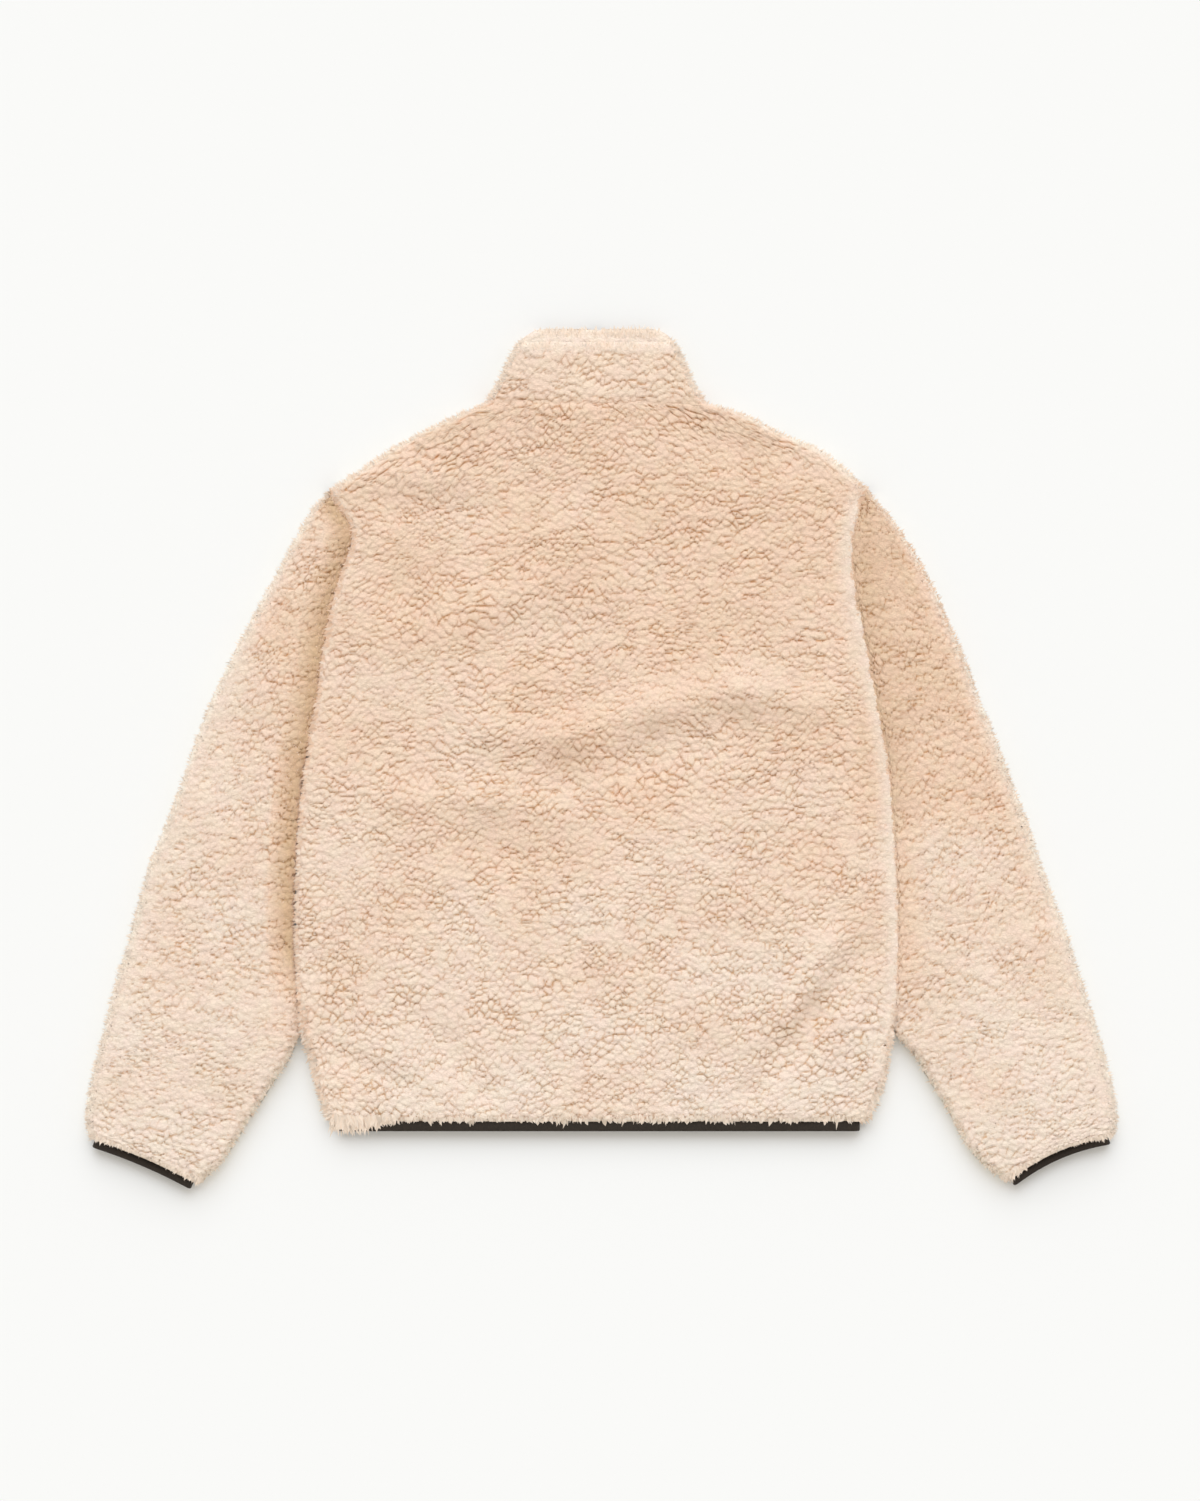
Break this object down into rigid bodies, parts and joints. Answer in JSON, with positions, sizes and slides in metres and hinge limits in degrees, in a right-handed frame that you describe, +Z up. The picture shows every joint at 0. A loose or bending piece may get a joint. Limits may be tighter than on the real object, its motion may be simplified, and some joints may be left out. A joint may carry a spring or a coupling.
{
  "type": "reversible sherpa jacket",
  "caption": "Curly-pile zip jacket laid flat on its front with the back up, sleeves drawn down beside it, short stand collar and dark elastic binding at hem and cuffs.",
  "frame": {"origin": "on the surface the jacket lies on, under the middle of its outline seen from above", "axes": "+X across the jacket towards the wearer's right sleeve, +Y from hem to collar, +Z up from the surface, out of the back"},
  "size_m": [0.9772, 0.8159, 0.0266],
  "materials": {
    "sherpa_fleece": "curled cream polyester pile",
    "elastic_binding": "near-black knitted elastic",
    "zip_tape": "woven polyester tape",
    "zip_teeth": "moulded plastic",
    "zip_metal": "satin lacquered zinc"
  },
  "bodies": {
    "jacket": {"back_panel": "sherpa_fleece", "front_left": "sherpa_fleece", "front_right": "sherpa_fleece", "sleeve_left": "sherpa_fleece", "sleeve_right": "sherpa_fleece", "collar": "sherpa_fleece", "hem_binding": "elastic_binding", "cuff_binding_left": "elastic_binding", "cuff_binding_right": "elastic_binding", "zip_tape_left": "zip_tape", "zip_tape_right": "zip_tape", "zip_chain": "zip_teeth", "zip_box": "zip_teeth", "zip_slider": "zip_metal"},
    "pull_tab": {"zip_pull": "zip_metal"}
  },
  "joints": [
    {"name": "pull_tab_hinge", "type": "hinge", "parent": "jacket", "child": "pull_tab", "pos_m": [-0.0045, 0.3905, 0.00285], "axis": [1, 0, 0], "range_deg": [0, 170]}
  ]
}
